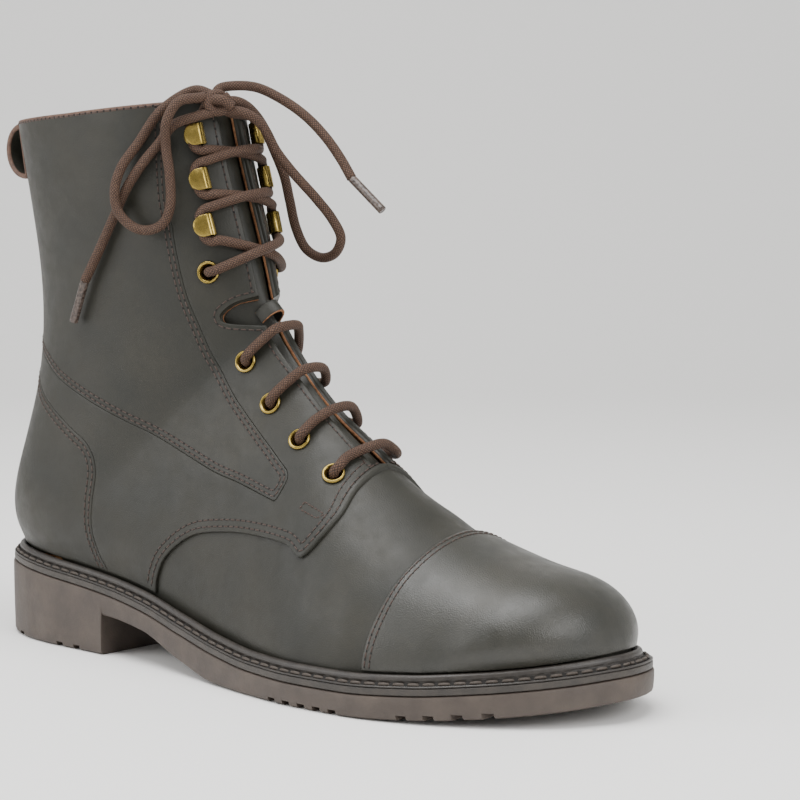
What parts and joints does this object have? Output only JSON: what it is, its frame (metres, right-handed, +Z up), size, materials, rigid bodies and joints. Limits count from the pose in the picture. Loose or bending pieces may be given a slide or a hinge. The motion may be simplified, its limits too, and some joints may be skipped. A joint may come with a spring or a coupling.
{
  "type": "paddock boot",
  "caption": "Right ankle-high lace-up leather boot with toe cap, welted rubber sole, eyelets, speed hooks and a tied lace.",
  "frame": {"origin": "on the ground under the middle of the heel block", "axes": "+X towards the toe, +Y towards the inner side of the foot, +Z up"},
  "size_m": [0.3086, 0.1055, 0.2229],
  "materials": {
    "rubber": "moulded dark brown rubber, slightly worn",
    "sole_edge": "buffed edge",
    "welt": "waxed edge",
    "lining": "natural tan lining leather",
    "leather": "waxed dark olive brown leather, soft sheen",
    "cap_leather": "polished dark olive leather, fine grain",
    "brass": "pressed brass, satin, a little worn",
    "lace": "round braided waxed lace, dark brown with pale flecks",
    "aglet": "clear plastic sheath over the lace"
  },
  "bodies": {
    "root": {"outsole": "rubber", "midsole": "sole_edge", "welt": "welt", "insole": "lining", "upper": "leather", "tongue": "leather", "toe_cap": "cap_leather", "heel_counter": "leather", "leg_lateral": "leather", "leg_medial": "leather", "quarter_lateral": "leather", "quarter_medial": "leather", "eyelet_lateral_1": "brass", "eyelet_lateral_2": "brass", "eyelet_lateral_3": "brass", "eyelet_lateral_4": "brass", "eyelet_lateral_5": "brass", "hook_lateral_1": "brass", "hook_lateral_2": "brass", "hook_lateral_3": "brass", "eyelet_medial_1": "brass", "eyelet_medial_2": "brass", "eyelet_medial_3": "brass", "eyelet_medial_4": "brass", "eyelet_medial_5": "brass", "hook_medial_1": "brass", "hook_medial_2": "brass", "hook_medial_3": "brass", "tongue_keeper": "leather", "pull_loop": "leather", "lace_bar_1": "lace", "lace_bar_2": "lace", "lace_bar_3": "lace", "lace_bar_4": "lace", "lace_cross_1": "lace", "lace_cross_2": "lace", "lace_cross_3": "lace", "lace_knot": "lace", "lace_loop_left": "lace", "lace_loop_right": "lace", "lace_end_left": "lace", "lace_end_right": "lace", "aglet_left": "aglet", "aglet_right": "aglet"}
  },
  "joints": []
}
